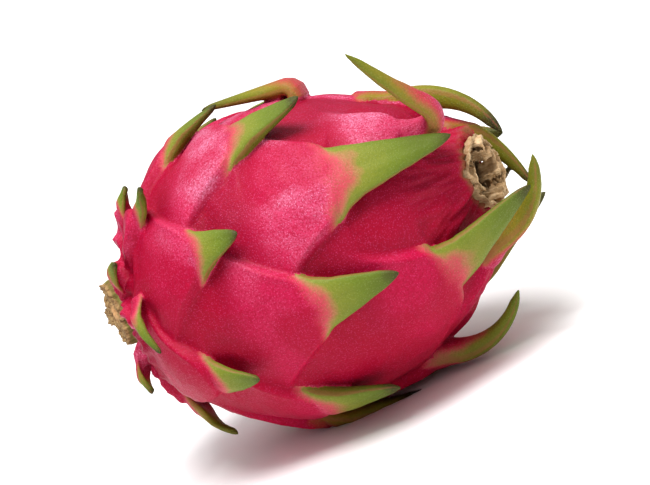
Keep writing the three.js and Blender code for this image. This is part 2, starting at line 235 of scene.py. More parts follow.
def grow_scales():
    """Where each scale is rooted and how big it is."""
    found = []
    for n in range(FIRST_SCALE, LAST_SCALE + 1):
        own = GROWN_APART.get(n, {})
        x = min(max(18 + 1.9 * n + 0.0375 * n * n + own.get("x", 0), 2.5), 114.5)
        l = length_at_x(x)
        r = float(np.interp(l, L_STEPS, R_STEPS))
        rise = 1.9 + 0.075 * n
        steep = max(1.0, (length_at_x(x + 2) - l) / 2) if x < 113 else 2.0
        cell = min(max(math.sqrt(2 * math.pi * r * max(rise, 0.9) * steep), 10), 33)
        found.append(dict(
            n=n, l=l, r=r,
            theta=math.radians(SPIRAL_START + SPIRAL_STEP * n + own.get("turn", 0)),
            length=max((6 + 0.55 * n + 0.018 * n * n) * own.get("long", 1.0), 2.5),
            half=own.get("half", 0.52 * cell),
            high=own.get("high", (0.135 + 0.1 * min(max((12 - n) / 12, 0), 1)) * cell),
            thick=0.13 * cell + 0.6,
            reach=0.46 * cell,
            back=0.98 * cell,
            launch=own.get("launch", 8 - 0.1 * n),
            bend=own.get("bend", 0.0),
            lean=own.get("lean", 0.0),
            ramp=own.get("ramp", 6 + abs(own.get("launch", 8)) / 30),
            fleshy=own.get("fleshy", 0.6 + 0.6 * min(max(n / 14, 0), 1)),
            blush=own.get("blush", 0.0),
            dry=own.get("dry", 0.0),
        ))
    return found


SCALES = grow_scales()


def half_width(scale, a):
    """Half the width of the cushion behind the root of a scale."""
    u = np.clip((scale["length"] - a) / (scale["length"] + scale["reach"]), 0, 1.6)
    return scale["half"] * (0.78 * u + 0.22 * u ** 4)


def blade_half_width(scale, a):
    """Half the width of the blade: full towards the tip, flared at the root."""
    u = np.clip((scale["length"] - a) / (scale["length"] + scale["reach"]), 0, 1.3)
    return scale["half"] * (0.56 * u ** 0.62 + 0.44 * u ** 4) * (1 + 0.22 * smooth(-a / 5))


def relief(l, theta):
    """How far the cushions under the scales lift the skin, and where each point lies on its scale."""
    r = np.interp(l, L_STEPS, R_STEPS)
    total, dip, best = np.zeros_like(l), np.zeros_like(l), np.zeros_like(l)
    along, edge, dry = np.full_like(l, -3.0), np.zeros_like(l), np.zeros_like(l)
    high = np.full_like(l, 3.0)
    for s in SCALES:
        a = l - s["l"]
        turn = np.angle(np.exp(1j * (theta - s["theta"])))
        signed = turn * np.maximum((r + s["r"]) / 2, 4)
        near = (a > -1.2 * s["back"]) & (a < 14) & (np.abs(signed) < 2.2 * s["half"])
        a, b = a[near], np.abs(signed[near])
        w = half_width(s, np.minimum(a, 0))
        inside = -1.6 * np.log(np.exp(-0.72 * (w - b) / 1.6) + np.exp(0.95 * (a + 1.8) / 1.6))
        wall = smooth(inside / 2.0 + 0.5)
        fade = np.cos(np.clip(-a / s["back"], 0, 1) * math.pi / 2) ** 1.5
        crown = 0.66 + 0.34 * (1 - np.clip(b / w, 0, 1) ** 2)
        lip = 0.16 * bell((inside - 0.9) / 0.9) * smooth(-a / 7 - 0.3)
        lifted = s["high"] * wall * fade * (crown + lip)
        total[near] += lifted ** 5
        ahead = bell(b / (0.8 * s["half"])) * (a > -2) * bell((a.clip(0) - 1.5) / 3.5)
        dip[near] += 0.25 * s["high"] * ahead * (1 - wall)
        place = np.flatnonzero(near)[lifted > best[near]]
        wins = lifted > best[near]
        best[place] = lifted[wins]
        behind = np.where(a < 0, a, -2 * a - 2)
        along[place] = (behind / s["length"])[wins] - s["blush"]
        edge[place] = ((b / w).clip(0, 1) * smooth(1 + behind / 18))[wins]
        dry[place] = s["dry"]
        high[place] = s["high"]
    ends = smooth((l - 3) / 7) * (1 - smooth((l - RIM_LENGTH + 7) / 6))
    lift = (total ** 0.2 - dip) * ends
    return lift, dict(leaf=along.clip(-3, 0), edge=edge, dry=dry, raised=lift / high)


def ripple(points, size, seed=0.0):
    """Soft noise from -1 to 1 at each point, with bumps about as wide as size."""
    shift = Vector((seed, seed * 0.37, seed * 1.9))
    return np.array([noise.noise(Vector(p) / size + shift) for p in points])


def ball_angles(ball):
    """Angles of the points of a ball: down from its top pole, and round."""
    return np.arccos(np.clip(ball[:, 2], -1, 1)), np.arctan2(ball[:, 1], ball[:, 0])


def round_and_along(theta, l, radius, stretch):
    """Points for a noise that runs in folds along the body: more radius gives more folds."""
    return np.stack([np.cos(theta) * radius, np.sin(theta) * radius, l * stretch], -1)


def neck_lift(l, theta, psi, depth):
    """Folds of the shrivelled neck, with its waist and its raised lip on the upper side."""
    upper = bell((psi + 85) / 55)
    waist = NECK_WAIST * upper * bell((l - RIM_LENGTH + 10) / 6.5)
    lip = RIM_LIP * upper * bell((l - RIM_LENGTH + 0.5) / 2.6)
    neck = smooth((l - RIM_LENGTH + 30) / 26) * (1 - smooth((l - RIM_LENGTH) / 3))
    folds = (np.abs(ripple(round_and_along(theta, l, 7, 0.05), 1.0, 1.0)) - 0.25) * 1.6
    folds = folds + 0.5 * ripple(round_and_along(theta, l, 16, 0.11), 1.0, 5.0)
    return lip - waist + depth * neck * folds


def stem_lift(l, theta, point):
    """Creases that run out from the stem, crossed by finer ones."""
    creased = (1 - smooth((l - 12) / (STEM_CREASES_LENGTH - 12))) * smooth((l - 2) / 5)
    running_out = (0.22 - np.abs(ripple(round_and_along(theta, l, 4.5, 0.09), 1.0, 2.0))) * 2.6
    crossing = (0.2 - np.abs(ripple(point, 4.2, 6.0))) * 1.2
    return STEM_CREASES * creased * (running_out + crossing - 0.7)


def body_points(ball, sizes):
    """Pulls a ball into the body with its cushions, wrinkled neck and cup."""
    v, theta = ball_angles(ball)
    l = v / math.pi * L_STEPS[-1]
    psi = turned(theta)
    point, _, out, _ = skin_at(l, theta)
    lift, marks = relief(l, theta)
    lift = lift * 1.1 + 0.45 * ripple(point, 11.0, 3.0) + 0.5 * (0.3 - np.abs(ripple(point, 7.0, 8.0)))
    lift = lift + neck_lift(l, theta, psi, sizes.neck_folds / MM) + stem_lift(l, theta, point)
    # The bloom mark is part real bloom and part painted light: it places a painted sheen on the upper side by
    # the neck and on the front by the stem, and painted shade where it is low.
    marks["bloom"] = np.maximum(bell((psi + 56) / 46, (l - 92) / 40), 0.55 * bell((l - 24) / 12, psi / 90))
    marks["neck"] = smooth((l - RIM_LENGTH + 2.2) / 2)
    marks["under"] = np.zeros_like(l)
    return point + lift[:, None] * out, marks


def blade_points(ball, scale):
    """Pulls a ball into one leafy scale: a curved blade of lens section, sunk into its cushion."""
    v, turn = ball_angles(ball)
    share_down = (1 - np.cos(v)) / 2
    buried = max(0.3 * scale["back"], 3.0)
    length = scale["length"]
    whole = length + buried
    steps = 160
    fine = np.linspace(-buried, length, steps + 1)
    mids = (fine[1:] + fine[:-1]) / 2
    ramp = scale["ramp"]
    follow = -np.minimum(mids, 4) / 62
    lifted = scale["launch"] * smooth((mids + 3) / ramp) + scale["bend"] * np.clip(mids / length, 0, 1)
    pitch = np.radians(lifted) + follow
    yaw = math.radians(scale["lean"])
    point, along, out, round_ = (q[0] for q in skin_at(np.array([scale["l"]]), np.array([scale["theta"]])))
    ahead = ((np.cos(pitch) * math.cos(yaw))[:, None] * along + np.sin(pitch)[:, None] * out
             + (np.cos(pitch) * math.sin(yaw))[:, None] * round_)
    line = np.concatenate([np.zeros((1, 3)), np.cumsum(ahead * whole / steps, 0)])
    rooted = np.array([np.interp(0, fine, line[:, k]) for k in range(3)])
    line += point + out * scale["high"] * 1.02 - rooted

    a = -buried + share_down * whole
    share = np.clip(a / length, 0, 1)
    centre = np.stack([np.interp(a, fine, line[:, k]) for k in range(3)], -1)
    ahead_a = np.stack([np.interp(a, mids, ahead[:, k]) for k in range(3)], -1)
    pitch_a = np.interp(a, mids, pitch)
    across = np.cross(np.cross(ahead_a, round_), ahead_a)
    across /= np.linalg.norm(across, axis=1)[:, None]
    up = -np.sin(pitch_a)[:, None] * along + np.cos(pitch_a)[:, None] * out

    heel = np.sqrt(1 - (0.9 * np.clip(-a / buried, 0, 1)) ** 2)
    width = blade_half_width(scale, a) * heel
    crumple = ripple(np.stack([a, np.full_like(a, scale["n"]), np.sign(np.cos(turn))], -1), 3.2, 7.0)
    width = width * (1 + (0.04 + 0.16 * scale["dry"]) * crumple * smooth(a / 5))
    width = np.maximum(width, 0.75 * np.sin(v) ** 0.5)
    blunt = np.minimum(np.sqrt(np.clip((1 - share) / 0.12, 0, 1)), 1)
    thick = np.maximum(scale["fleshy"] * scale["thick"] * (1 - 0.72 * share), 1.5) * blunt
    hollow = scale["r"] + (scale["half"] / 2 + 4 - scale["r"]) * share
    sunk = 0.75 * scale["high"] * smooth(-a / buried)
    droop = 0.36 * scale["high"] * smooth((6 - a) / 8)
    side, face = np.cos(turn), np.sin(turn)
    b = side * width
    groove = 0.35 * bell(side / 0.22) * smooth(a / 6) * (1 - share) ** 0.5
    lift = np.where(face > 0, 0.26 * thick * face - groove * face, -thick * np.abs(face) ** 0.7)
    lift = lift - b * b / (2 * hollow) - droop * side ** 2 - sunk
    on_pole = np.sin(v) < 1e-4
    b = np.where(on_pole, 0, b)
    lift = np.where(on_pole & (a < 0), -1.1 * scale["high"], np.where(on_pole, 0, lift))
    underside = smooth(-face * 2.5) * smooth((a + 1) / 3)
    marks = dict(
        leaf=a / length - scale["blush"], edge=np.abs(side), raised=np.full_like(a, 0.9),
        dry=np.full_like(a, scale["dry"]), bloom=np.full_like(a, 0.4), neck=np.zeros_like(a),
        under=underside * min(0.1 + scale["dry"], 0.9),
    )
    return centre + b[:, None] * across + lift[:, None] * up, marks


# Mesh helpers.


def ball_mesh(name, sides, rings):
    """A closed ball of fine quads, to be pulled into shape."""
    bm = bmesh.new()
    cuts = 4 if sides > 100 else 2
    bmesh.ops.create_uvsphere(bm, u_segments=sides // cuts, v_segments=rings // cuts, radius=1.0)
    bmesh.ops.subdivide_edges(bm, edges=bm.edges, cuts=cuts - 1, use_grid_fill=True)
    for vert in bm.verts:
        vert.co.normalize()
    mesh = bpy.data.meshes.new(name)
    bm.to_mesh(mesh)
    bm.free()
    return mesh


def read_points(mesh):
    co = np.empty(len(mesh.vertices) * 3, np.float32)
    mesh.vertices.foreach_get("co", co)
    return co.reshape(-1, 3).astype(float)


def write_points(mesh, points):
    mesh.vertices.foreach_set("co", np.ascontiguousarray(points, np.float32).ravel())
    mesh.update()


def new_piece(name, mesh):
    piece = bpy.data.objects.new(name, mesh)
    bpy.context.scene.collection.objects.link(piece)
    return piece


def bake_modifiers(piece):
    """Replaces the piece's mesh by what its modifiers make of it."""
    bpy.context.view_layer.update()
    graph = bpy.context.evaluated_depsgraph_get()
    made = bpy.data.meshes.new_from_object(piece.evaluated_get(graph))
    old = piece.data
    piece.modifiers.clear()
    piece.data = made
    made.name = piece.name
    bpy.data.meshes.remove(old)


def fuse(piece, voxel, smoothing, triangles):
    """Grows overlapping shells together, softens the result and thins it to a number of triangles."""
    remesh = piece.modifiers.new("Grow together", "REMESH")
    remesh.mode = "VOXEL"
    remesh.voxel_size = voxel
    soften = piece.modifiers.new("Soften", "SMOOTH")
    soften.factor = 0.5
    soften.iterations = smoothing
    bake_modifiers(piece)
    count = sum(len(p.vertices) - 2 for p in piece.data.polygons)
    if count > triangles:
        thin = piece.modifiers.new("Thin", "DECIMATE")
        thin.ratio = triangles / count
        bake_modifiers(piece)
    if not piece.data.polygons:
        raise RuntimeError(piece.name + " has no faces after its shells were fused")


def add_mark(mesh, name, values):
    mesh.attributes.new(name, "FLOAT", "POINT").data.foreach_set("value", values.astype(np.float32))


def mark_surface(mesh, sources, marks):
    """Carries marks from source points to the nearest points of a mesh, as named attributes."""
    tree = kdtree.KDTree(len(sources))
    for i, p in enumerate(sources):
        tree.insert(p, i)
    tree.balance()
    points = read_points(mesh)
    index = np.empty((len(points), 4), int)
    weight = np.empty((len(points), 4))
    for i, p in enumerate(points):
        for k, (_, j, distance) in enumerate(tree.find_n(p, 4)):
            index[i, k] = j
            weight[i, k] = 1 / (distance * distance + 1e-9)
    weight /= weight.sum(1)[:, None]
    for name, values in marks.items():
        add_mark(mesh, name, (values[index] * weight).sum(1))


def finish_piece(piece, material, node):
    piece.data.materials.clear()
    piece.data.materials.append(material)
    piece.data.shade_smooth()
    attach(piece, "root")
    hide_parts(node)


# Shader helpers.


def add(tree, kind, inputs=None, **settings):
    """Adds a node with its settings; an input is a number, a colour or another node's output."""
    node = tree.nodes.new("ShaderNode" + kind)
    for name, value in settings.items():
        setattr(node, name, value)
    for key, value in (inputs or {}).items():
        if isinstance(value, bpy.types.NodeSocket):
            tree.links.new(value, node.inputs[key])
        else:
            node.inputs[key].default_value = value
    return node


def maths(tree, operation, a, b=0.0, clamp=False):
    return add(tree, "Math", {0: a, 1: b}, operation=operation, use_clamp=clamp).outputs[0]


def rise(tree, value, low, high, to_low=0.0, to_high=1.0):
    """A soft step from to_low at low to to_high at high."""
    inputs = {"Value": value, "From Min": low, "From Max": high, "To Min": to_low, "To Max": to_high}
    return add(tree, "MapRange", inputs, interpolation_type="SMOOTHSTEP").outputs[0]


def rise_linear(tree, value, low, high, to_low=0.0, to_high=1.0):
    """A straight run from to_low at low to to_high at high."""
    inputs = {"Value": value, "From Min": low, "From Max": high, "To Min": to_low, "To Max": to_high}
    return add(tree, "MapRange", inputs).outputs[0]


def mixed(tree, share, first, second, blend="MIX"):
    node = add(tree, "Mix", {0: share, 6: first, 7: second}, data_type="RGBA", blend_type=blend)
    return node.outputs[2]


def ramp(tree, value, stops):
    node = add(tree, "ValToRGB", {"Fac": value})
    elements = node.color_ramp.elements
    while len(elements) < len(stops):
        elements.new(0.5)
    for element, (at, colour) in zip(elements, stops):
        element.position = at
        element.color = (*colour, 1)
    return node.outputs["Color"]


def cloud(tree, vector, size, detail=2.0, roughness=0.5):
    """Noise with bumps about as wide as size, in metres."""
    inputs = {"Vector": vector, "Scale": 1 / size, "Detail": detail, "Roughness": roughness}
    return add(tree, "TexNoise", inputs).outputs["Fac"]


def mark(tree, name):
    return add(tree, "Attribute", attribute_name=name, attribute_type="GEOMETRY").outputs["Fac"]


def grain_group():
    """Fine grain that every finish here shares: pale pores, a close rough and broad patches."""
    name = "Plant grain"
    if name in bpy.data.node_groups:
        return bpy.data.node_groups[name]
    tree = bpy.data.node_groups.new(name, "ShaderNodeTree")
    for label, kind, value in (("Place", "NodeSocketVector", None), ("Pore size", "NodeSocketFloat", 0.0007),
                               ("Patch size", "NodeSocketFloat", 0.012)):
        socket = tree.interface.new_socket(label, in_out="INPUT", socket_type=kind)
        if value is not None:
            socket.default_value = value
    for label in ("Pores", "Rough", "Patches"):
        tree.interface.new_socket(label, in_out="OUTPUT", socket_type="NodeSocketFloat")
    given = tree.nodes.new("NodeGroupInput").outputs
    wanted = tree.nodes.new("NodeGroupOutput").inputs
    scale = maths(tree, "DIVIDE", 1.0, given["Pore size"])
    cells = add(tree, "TexVoronoi", {"Vector": given["Place"], "Scale": scale})
    lit = add(tree, "SeparateColor", {"Color": cells.outputs["Color"]}).outputs[0]
    dots = rise(tree, cells.outputs["Distance"], 0.1, 0.5, 1.0, 0.0)
    tree.links.new(maths(tree, "MULTIPLY", dots, rise(tree, lit, -0.3, 0.65)), wanted["Pores"])
    half = maths(tree, "MULTIPLY", scale, 0.9)
    rough = add(tree, "TexNoise", {"Vector": given["Place"], "Scale": half, "Detail": 2.0}).outputs["Fac"]
    tree.links.new(rough, wanted["Rough"])
    wide = maths(tree, "DIVIDE", 1.0, given["Patch size"])
    patches = add(tree, "TexNoise", {"Vector": given["Place"], "Scale": wide, "Detail": 3.0}).outputs["Fac"]
    tree.links.new(rise(tree, patches, 0.35, 0.68), wanted["Patches"])
    return tree


def grain(tree, place, pore, patch):
    node = tree.nodes.new("ShaderNodeGroup")
    node.node_tree = grain_group()
    tree.links.new(place, node.inputs["Place"])
    node.inputs["Pore size"].default_value = pore
    node.inputs["Patch size"].default_value = patch
    return node.outputs


def new_material(name):
    material = bpy.data.materials.new(name)
    material.use_nodes = True
    tree = material.node_tree
    return material, tree, tree.nodes["Principled BSDF"], add(tree, "TexCoord").outputs["Object"]


def wire(tree, shader, colour, roughness, height, depth):
    """Joins colour, roughness and a bump of a depth in metres to the shader."""
    tree.links.new(colour, shader.inputs["Base Color"])
    tree.links.new(roughness, shader.inputs["Roughness"])
    bump = add(tree, "Bump", {"Height": height, "Distance": depth, "Strength": 1.0})
    tree.links.new(bump.outputs["Normal"], shader.inputs["Normal"])


# Colours along a scale from its red root to its tip, for a fresh one and for a withered one.
FRESH_SCALE = (
    (0.20, (0.58, 0.02, 0.08)), (0.34, (0.52, 0.08, 0.10)), (0.41, (0.38, 0.18, 0.08)),
    (0.47, (0.22, 0.235, 0.035)), (0.66, (0.155, 0.20, 0.025)), (0.87, (0.11, 0.145, 0.022)),
    (0.96, (0.065, 0.06, 0.02)),
)
WITHERED_SCALE = (
    (0.22, (0.48, 0.02, 0.045)), (0.36, (0.40, 0.09, 0.045)), (0.50, (0.29, 0.18, 0.02)),
    (0.65, (0.22, 0.20, 0.015)), (0.80, (0.16, 0.13, 0.015)), (0.90, (0.08, 0.05, 0.015)),
    (0.97, (0.03, 0.016, 0.01)),
)
# Deep crimson for random patches and for painted shade where the skin is turned from the light.
DEEP_SKIN_AND_SHADE = (0.34, 0.001, 0.026, 1)
DARK_GRAIN = (0.34, 0.001, 0.028, 1)
PORE_ON_SKIN = (0.72, 0.09, 0.27, 1)
# Pale pores in the bloom and its painted sheen.
PORE_ON_BLOOM_AND_SHEEN = (0.76, 0.36, 0.54, 1)
CORKY_RIM = (0.24, 0.10, 0.045, 1)
PORE_ON_GREEN = (0.55, 0.62, 0.3, 1)
DARK_GREEN = (0.10, 0.15, 0.02, 1)
SCALE_MARGIN = (0.36, 0.12, 0.07, 1)


def skin_material(looks):
    """Magenta skin that turns through salmon and yellow into green along each scale."""
    material, tree, shader, place = new_material("Dragon fruit skin")
    spots = grain(tree, place, 0.0005, 0.012)
    leaf, edge, raised = mark(tree, "leaf"), mark(tree, "edge"), mark(tree, "raised")
    dry, neck, under = mark(tree, "dry"), mark(tree, "neck"), mark(tree, "under")
    drift = cloud(tree, place, 0.006, 3.0)

    # Skin: painted shade in the folds between the cushions, magenta on the cushions, a pale bloom with a
    # painted sheen on their crests.
    skin = mixed(tree, rise(tree, raised, -0.12, 0.38), (*looks.fold_shade_colour, 1), (*looks.skin_colour, 1))
    deeps = rise(tree, cloud(tree, place, 0.024, 1.0), 0.48, 0.6)
    # Painted shade: away from the bloom mark the skin is darkened as if turned from the light, on top of
    # random deep patches.
    lit = mark(tree, "bloom")
    unlit = rise_linear(tree, lit, 0.0, 0.5, 0.35, 0.0)
    deep_patches_and_shade = maths(tree, "ADD", maths(tree, "MULTIPLY", deeps, 0.45), unlit)
    skin = mixed(tree, deep_patches_and_shade, skin, DEEP_SKIN_AND_SHADE)
    calm = maths(tree, "SUBTRACT", 1.0, maths(tree, "MULTIPLY", deeps, 0.85))
    # Painted highlight: the pale bloom on the crests follows the bloom mark, part real bloom and part painted
    # sheen.
    crest = maths(tree, "MULTIPLY", maths(tree, "MULTIPLY", rise(tree, raised, -0.1, 0.5), lit), calm)
    bloom = maths(tree, "MULTIPLY", crest, rise(tree, spots["Patches"], 0.0, 0.9, 0.45, 1.0))
    skin = mixed(tree, maths(tree, "MULTIPLY", bloom, 0.8), skin, (*looks.bloom_and_sheen_colour, 1))
    shown = maths(tree, "ADD", maths(tree, "MULTIPLY", bloom, 0.6), 0.36)
    pores = maths(tree, "MULTIPLY", spots["Pores"], shown)
    pale = mixed(tree, rise_linear(tree, bloom, 0.0, 0.35), PORE_ON_SKIN, PORE_ON_BLOOM_AND_SHEEN)
    skin = mixed(tree, pores, skin, pale)
    skin = mixed(tree, rise(tree, spots["Rough"], 0.45, 0.62, 0.0, 0.6), skin, DARK_GRAIN)
    scar = maths(tree, "MULTIPLY", neck, rise(tree, drift, 0.35, 0.6))
    skin = mixed(tree, scar, skin, CORKY_RIM)

    # Along a scale the margins turn green before the middle does.
    ahead = rise_linear(tree, leaf, -0.3, 0.7, 0.42, 0.0)
    fringe = maths(tree, "MULTIPLY", maths(tree, "POWER", edge, 3.0), ahead)
    wander = maths(tree, "MULTIPLY", maths(tree, "SUBTRACT", drift, 0.5), 0.3)
    along = maths(tree, "ADD", maths(tree, "ADD", leaf, fringe), wander)
    at = rise_linear(tree, along, -0.5, 1.0)
    fresh, withered = ramp(tree, at, FRESH_SCALE), ramp(tree, at, WITHERED_SCALE)
    age = maths(tree, "MAXIMUM", dry, maths(tree, "MULTIPLY", under, 0.8))
    green = mixed(tree, age, fresh, withered)
    green = mixed(tree, maths(tree, "MULTIPLY", spots["Pores"], 0.12), green, PORE_ON_GREEN)
    green = mixed(tree, rise(tree, spots["Rough"], 0.35, 0.8, 0.0, 0.35), green, DARK_GREEN)
    leafy = rise(tree, along, -0.22, 0.03)
    margin = maths(tree, "MULTIPLY", rise(tree, edge, 0.97, 1.0), leafy)
    green = mixed(tree, maths(tree, "MULTIPLY", margin, 0.5), green, SCALE_MARGIN)
    colour = mixed(tree, leafy, skin, green)

    rough = rise(tree, spots["Rough"], 0.3, 0.8, 0.42, 0.58)
    height = maths(tree, "ADD", maths(tree, "MULTIPLY", spots["Pores"], 0.5), spots["Rough"])
    wire(tree, shader, colour, rough, height, 0.00012)
    shader.inputs["Specular IOR Level"].default_value = 0.18
    return material


def dry_flower_material(looks):
    """Papery withered flower: tan, with brown fibres and painted shade in its hollows."""
    material, tree, shader, place = new_material("Withered flower")
    spots = grain(tree, place, 0.0006, 0.004)
    stretched = add(tree, "Mapping", {"Vector": place, "Scale": (0.25, 1, 1)}).outputs[0]
    fibres = cloud(tree, stretched, 0.0007, 4.0, 0.6)
    deep = mark(tree, "deep")
    colour = mixed(tree, rise(tree, fibres, 0.3, 0.6), (0.36, 0.22, 0.10, 1), (*looks.flower_colour, 1))
    colour = mixed(tree, maths(tree, "MULTIPLY", spots["Patches"], 0.6), colour, (0.27, 0.15, 0.06, 1))
    colour = mixed(tree, maths(tree, "MULTIPLY", spots["Pores"], 0.3), colour, (0.66, 0.50, 0.32, 1))
    # Painted shade: near-black painted into the flower's hollow.
    colour = mixed(tree, maths(tree, "MULTIPLY", deep, 0.9), colour, (0.035, 0.016, 0.008, 1))
    height = maths(tree, "ADD", fibres, maths(tree, "MULTIPLY", spots["Rough"], 0.5))
    wire(tree, shader, colour, rise(tree, fibres, 0.3, 0.7, 0.95, 0.75), height, 0.00012)
    return material


def stem_material(looks):
    """Cut cactus stem: corky tan face round a pale core, olive sides with brown ribs."""
    material, tree, shader, place = new_material("Cut stem")
    spots = grain(tree, place, 0.0006, 0.003)
    stretched = add(tree, "Mapping", {"Vector": place, "Scale": (0.3, 1, 1)}).outputs[0]
    fibres = cloud(tree, stretched, 0.0008, 4.0, 0.6)
    cut, core = mark(tree, "cut"), mark(tree, "core")
    side = mixed(tree, rise(tree, fibres, 0.35, 0.65), (0.12, 0.10, 0.02, 1), (0.22, 0.20, 0.045, 1))
    side = mixed(tree, maths(tree, "MULTIPLY", spots["Patches"], 0.7), side, (0.20, 0.11, 0.04, 1))
    face = mixed(tree, rise(tree, fibres, 0.3, 0.7), (0.13, 0.06, 0.02, 1), (*looks.stem_colour, 1))
    face = mixed(tree, core, face, (0.62, 0.35, 0.16, 1))
    face = mixed(tree, maths(tree, "MULTIPLY", spots["Pores"], 0.3), face, (0.60, 0.44, 0.25, 1))
    colour = mixed(tree, cut, side, face)
    height = maths(tree, "ADD", fibres, maths(tree, "MULTIPLY", spots["Rough"], 0.5))
    wire(tree, shader, colour, rise(tree, fibres, 0.3, 0.7, 0.9, 0.7), height, 0.0003)
    return material


# Settings.


class FruitSizes(bpy.types.PropertyGroup):
    """Sizes of the dragon fruit's pieces"""

    grown_voxel: bpy.props.FloatProperty(
        name="Skin detail", description="Finest detail kept where the scales grow into the skin",
        default=0.00042, min=0.0002, max=0.003, precision=5, subtype="DISTANCE", unit="LENGTH")
    grown_triangles: bpy.props.IntProperty(
        name="Skin triangles", description="Most triangles in the skin with its scales",
        default=192000, min=5000, max=199000)
    neck_folds: bpy.props.FloatProperty(
        name="Neck folds", description="Depth of the shrivelled folds round the flower scar",
        default=0.0016, min=0.0, max=0.004, precision=5, subtype="DISTANCE", unit="LENGTH")
    flower_wall: bpy.props.FloatProperty(
        name="Flower wall", description="Thickness of the withered flower's papery wall",
        default=0.0011, min=0.0002, max=0.002, precision=5, subtype="DISTANCE", unit="LENGTH")
    flower_stands: bpy.props.FloatProperty(
        name="Flower stands", description="How far the far wall of the flower stands out of its hollow",
        default=0.0056, min=0.001, max=0.01, precision=5, subtype="DISTANCE", unit="LENGTH")
    stem_core: bpy.props.FloatProperty(
        name="Stem core", description="Radius of the cut stem's core",
        default=0.0044, min=0.002, max=0.008, precision=5, subtype="DISTANCE", unit="LENGTH")


class FruitLooks(bpy.types.PropertyGroup):
    """Colours of the dragon fruit's finishes"""

    skin_colour: bpy.props.FloatVectorProperty(
        name="Skin", description="Magenta of the cushions", default=(0.49, 0.001, 0.064),
        size=3, min=0, max=1, subtype="COLOR")
    # Painted shade: the crimson painted into the folds between the cushions.
    fold_shade_colour: bpy.props.FloatVectorProperty(
        name="Folds", description="Crimson in the folds between the cushions", default=(0.26, 0.001, 0.024),
        size=3, min=0, max=1, subtype="COLOR")
    # Pale bloom on the crests, part real bloom and part painted sheen.
    bloom_and_sheen_colour: bpy.props.FloatVectorProperty(
        name="Bloom", description="Pale bloom on the crests", default=(0.62, 0.26, 0.39),
        size=3, min=0, max=1, subtype="COLOR")
    flower_colour: bpy.props.FloatVectorProperty(
        name="Withered flower", description="Tan of the papery flower", default=(0.66, 0.48, 0.29),
        size=3, min=0, max=1, subtype="COLOR")
    stem_colour: bpy.props.FloatVectorProperty(
        name="Cut stem", description="Tan of the cut face", default=(0.46, 0.30, 0.13),
        size=3, min=0, max=1, subtype="COLOR")


class StudioSetup(bpy.types.PropertyGroup):
    """The plain studio round the fruit"""

    key_power: bpy.props.FloatProperty(
        name="Key light", description="Power of the soft light overhead", default=17.0, min=0, unit="POWER")
    fill_power: bpy.props.FloatProperty(
        name="Fill light", description="Power of the soft light beside the camera", default=1.0,
        min=0, unit="POWER")
    room_light: bpy.props.FloatProperty(
        name="Room light", description="Strength of the white surroundings overhead", default=0.82, min=0)
    camera_turn: bpy.props.FloatProperty(
        name="Camera turn", description="How far round the fruit the camera stands",
        default=math.radians(18.13), subtype="ANGLE", unit="ROTATION")
    camera_rise: bpy.props.FloatProperty(
        name="Camera rise", description="How far above the fruit the camera stands",
        default=math.radians(14.96), subtype="ANGLE", unit="ROTATION")
    camera_roll: bpy.props.FloatProperty(
        name="Camera roll", description="How far the camera is rolled", default=math.radians(-26.24),
        subtype="ANGLE", unit="ROTATION")
    camera_distance: bpy.props.FloatProperty(
        name="Camera distance", description="From the camera to the fruit", default=1.6,
        min=0.3, subtype="DISTANCE", unit="LENGTH")
    picture_width: bpy.props.FloatProperty(
        name="Picture width", description="How much the picture takes in across, at the fruit", default=0.1841,
        min=0.05, subtype="DISTANCE", unit="LENGTH")


# Operators.


class DRAGONFRUIT_OT_grow_fruit(bpy.types.Operator):
    """Grow the skin with its cushions and leafy scales as one piece"""

    bl_idname = "dragonfruit.grow_fruit"
    bl_label = "Grow fruit"

    def execute(self, context):
        sizes = context.scene.dragonfruit_sizes
        body = ball_mesh("body", BODY_SIDES, BODY_RINGS)
        blade = ball_mesh("blade", BLADE_SIDES, BLADE_RINGS)
        blade_ball = read_points(blade)
        shells = [(body, *body_points(read_points(body), sizes))]
        shells += [(blade, *blade_points(blade_ball, scale)) for scale in SCALES]
        bm = bmesh.new()
        for ball, shape, _ in shells:
            write_points(ball, (shape + PLACE) * MM)
            bm.from_mesh(ball)
        mesh = bpy.data.meshes.new("fruit_skin")
        bm.to_mesh(mesh)
        bm.free()
        points = read_points(mesh)
        marks = {name: np.concatenate([m[name] for _, _, m in shells]) for name in shells[0][2]}
        piece = new_piece("fruit_skin", mesh)
        fuse(piece, sizes.grown_voxel, 3, sizes.grown_triangles)
        settled = read_points(piece.data)
        settled[:, 2] = settled[:, 2].clip(0)
        write_points(piece.data, settled)
        mark_surface(piece.data, points, marks)
        finish_piece(piece, skin_material(context.scene.dragonfruit_looks), "fruit")
        return {"FINISHED"}


# The withered flower, in millimetres from the rim of its hollow. A fold is given by the turn where
# it starts, how far round it goes, its radius, its waves and their depth, how much lower than the
# far wall it stands and a seed; a fin by its turn, its offset from the middle, its foot and its top.
FLOWER_RADIUS = 9.7
FLOWER_FOOT = -5.5
FLOWER_NEAR_WALL = 2.0
FOLD_FOOT = -4.5
FLOWER_FOLDS = (
    (92, 180, 5.8, 4, 2.3, 0.4, 3.0),
    (92, 180, 8.2, 6, 1.3, 0.8, 11.0),
    (-70, 120, 7.4, 5, 1.2, 3.6, 17.0),
)
FIN_HALF_WIDTH = 8.0
FLOWER_FINS = ((70, -2.6, -5, 0.2), (62, 1.0, -5, 0.9), (78, 4.0, -5, 0.0), (-10, 0.5, -5, -1.0))


def crumple(p, size, seed):
    return noise.noise(p / size + Vector((seed, seed, seed)))


def flower_point(x, radius, psi):
    """A point of the withered flower: x out of the rim, radius from its middle, psi round."""
    theta = math.radians(psi + FRONT_TURN)
    return Vector((MOUTH_X + x, -math.cos(theta) * radius, -math.sin(theta) * radius - float(sag(MOUTH_X))))


